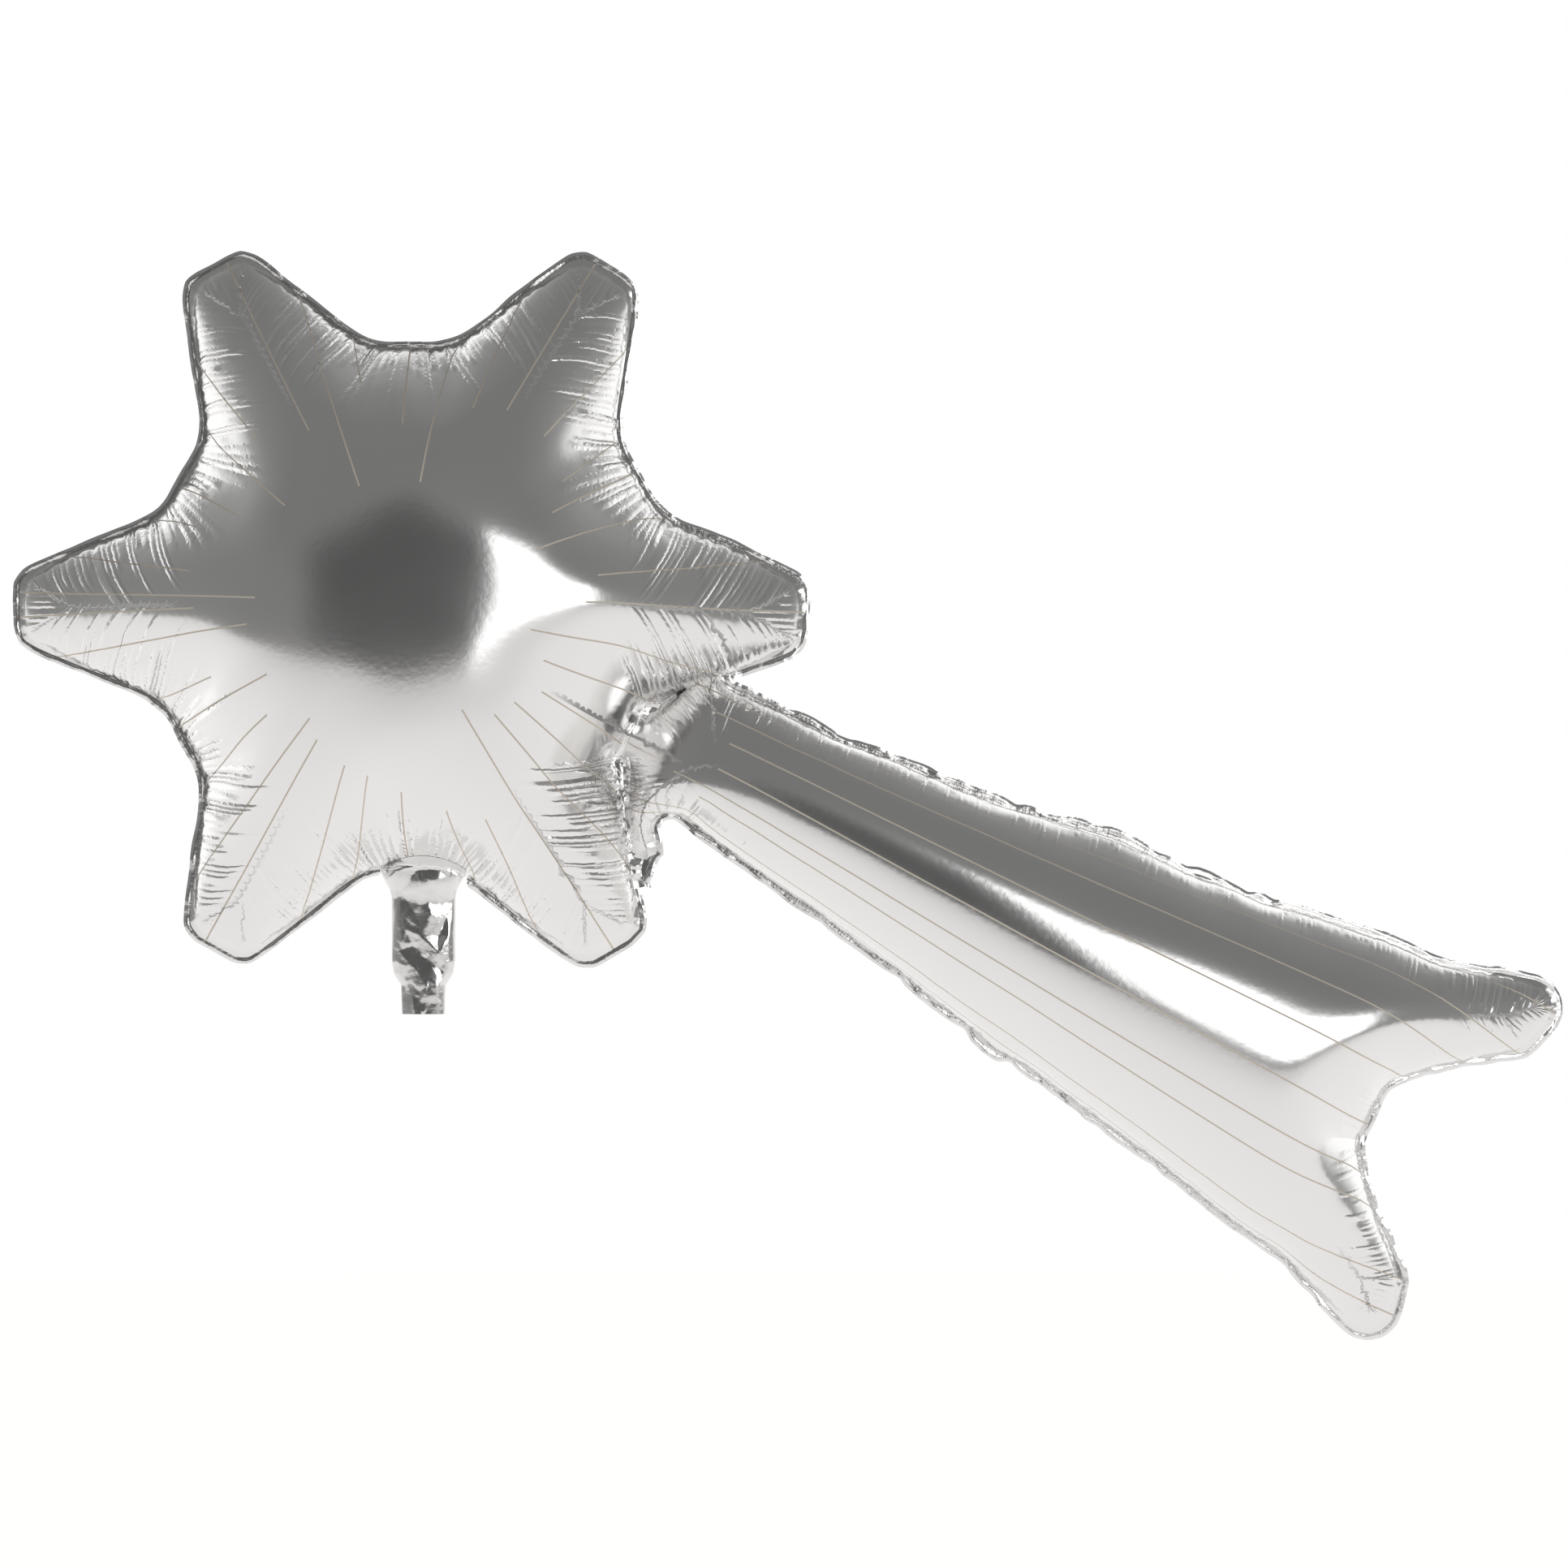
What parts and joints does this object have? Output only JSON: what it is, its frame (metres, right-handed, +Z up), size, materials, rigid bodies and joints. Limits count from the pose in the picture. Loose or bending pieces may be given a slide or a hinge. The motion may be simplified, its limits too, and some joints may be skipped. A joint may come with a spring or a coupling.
{
  "type": "star wand foil balloon",
  "caption": "Inflated foil balloon shaped like a magic wand: a six-pointed star with a flaring swallow-tailed streamer and a flat filling neck.",
  "frame": {"origin": "middle of the neck's throat, just below the star's bottom notch, where the balloon is tied off and held", "axes": "+X to the right, towards the streamer; +Z up; the printed front faces -Y"},
  "size_m": [0.9921, 0.214, 0.6873],
  "materials": {
    "silver_foil": "metallised film with fine printed rays",
    "weld_margin": "crinkled heat-sealed metallised film",
    "neck_foil": "crumpled metallised film",
    "valve_film": "thin clear film"
  },
  "bodies": {
    "star": {"star_front_panel": "silver_foil", "star_back_panel": "silver_foil", "star_weld_seam": "weld_margin", "notch_weld_upper": "weld_margin", "notch_weld_lower": "weld_margin", "tail_root_front_panel": "silver_foil", "tail_root_back_panel": "silver_foil", "tail_root_weld_seam": "weld_margin", "neck_root_front": "neck_foil", "neck_root_back": "neck_foil"},
    "tail": {"tail_front_panel": "silver_foil", "tail_back_panel": "silver_foil", "tail_weld_seam": "weld_margin"},
    "neck": {"neck_front_foil": "neck_foil", "neck_back_foil": "neck_foil", "neck_side_welds": "weld_margin", "valve_sleeve_front": "valve_film", "valve_sleeve_back": "valve_film"},
    "valve_front": {"valve_flap_front": "valve_film"},
    "valve_back": {"valve_flap_back": "valve_film"}
  },
  "joints": [
    {"name": "tail_flex", "type": "hinge", "parent": "star", "child": "tail", "pos_m": [0.19741, 0, 0.07016], "axis": [0.4648, 0, 0.8854], "range_deg": [-10, 10], "stiffness_Nm_per_rad": 0.4},
    {"name": "neck_fold", "type": "hinge", "parent": "star", "child": "neck", "pos_m": [0, 0, 0], "axis": [1, 0, 0], "range_deg": [-80, 80], "stiffness_Nm_per_rad": 0.0005},
    {"name": "valve_front_open", "type": "hinge", "parent": "star", "child": "valve_front", "pos_m": [0, -0.00045, 0.0028], "axis": [1, 0, 0], "range_deg": [0, 6], "stiffness_Nm_per_rad": 0.0002},
    {"name": "valve_back_open", "type": "hinge", "parent": "star", "child": "valve_back", "pos_m": [0, 0.00045, 0.0028], "axis": [1, 0, 0], "range_deg": [-6, 0], "stiffness_Nm_per_rad": 0.0002}
  ],
  "couplings": [
    {"joint": "valve_back_open", "follows": "valve_front_open", "ratio": -1}
  ]
}
